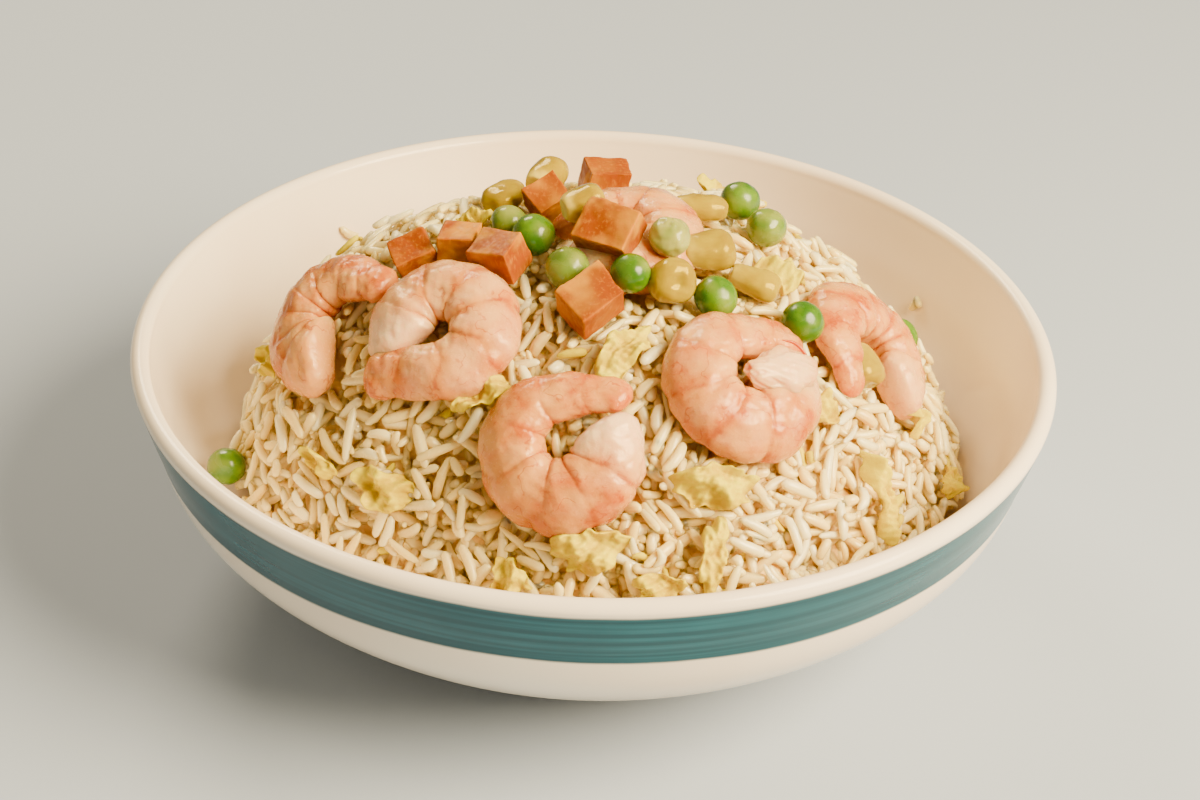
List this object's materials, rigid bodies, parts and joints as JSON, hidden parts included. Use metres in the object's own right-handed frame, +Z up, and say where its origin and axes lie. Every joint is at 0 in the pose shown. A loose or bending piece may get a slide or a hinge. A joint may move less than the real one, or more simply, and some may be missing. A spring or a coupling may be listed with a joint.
{
  "type": "bowl of fried rice",
  "caption": "Round painted bowl heaped with fried rice, curled shrimps, diced carrot, sweetcorn kernels, green peas and scrambled egg.",
  "frame": {"origin": "centre of the bowl's foot, on the table", "axes": "+Z up out of the bowl, +Y away from the side the dish is seen from"},
  "size_m": [0.22, 0.22, 0.1097],
  "materials": {
    "bowl": "glossy cream glaze with a painted teal band below the rim",
    "rice": "moist, slightly shiny grains",
    "shrimp": "wet and smooth",
    "pea": "wet and smooth",
    "carrot": "moist cut faces",
    "corn": "wet and smooth",
    "egg": "soft, torn and folded"
  },
  "bodies": {
    "root": {"bowl": "bowl", "rice": "rice", "shrimp_1": "shrimp", "shrimp_2": "shrimp", "shrimp_3": "shrimp", "shrimp_4": "shrimp", "shrimp_5": "shrimp", "shrimp_6": "shrimp", "pea_1": "pea", "pea_2": "pea", "pea_3": "pea", "pea_4": "pea", "pea_5": "pea", "pea_6": "pea", "pea_7": "pea", "pea_8": "pea", "pea_9": "pea", "pea_10": "pea", "pea_11": "pea", "carrot_1": "carrot", "carrot_2": "carrot", "carrot_3": "carrot", "carrot_4": "carrot", "carrot_5": "carrot", "carrot_6": "carrot", "carrot_7": "carrot", "corn_1": "corn", "corn_2": "corn", "corn_3": "corn", "corn_4": "corn", "corn_5": "corn", "corn_6": "corn", "corn_7": "corn", "corn_8": "corn", "egg_1": "egg", "egg_2": "egg", "egg_3": "egg", "egg_4": "egg", "egg_5": "egg", "egg_6": "egg", "egg_7": "egg", "egg_8": "egg", "egg_9": "egg", "egg_10": "egg", "egg_11": "egg", "egg_12": "egg", "egg_13": "egg", "egg_14": "egg", "egg_15": "egg", "egg_16": "egg", "egg_17": "egg", "egg_18": "egg"}
  },
  "joints": []
}
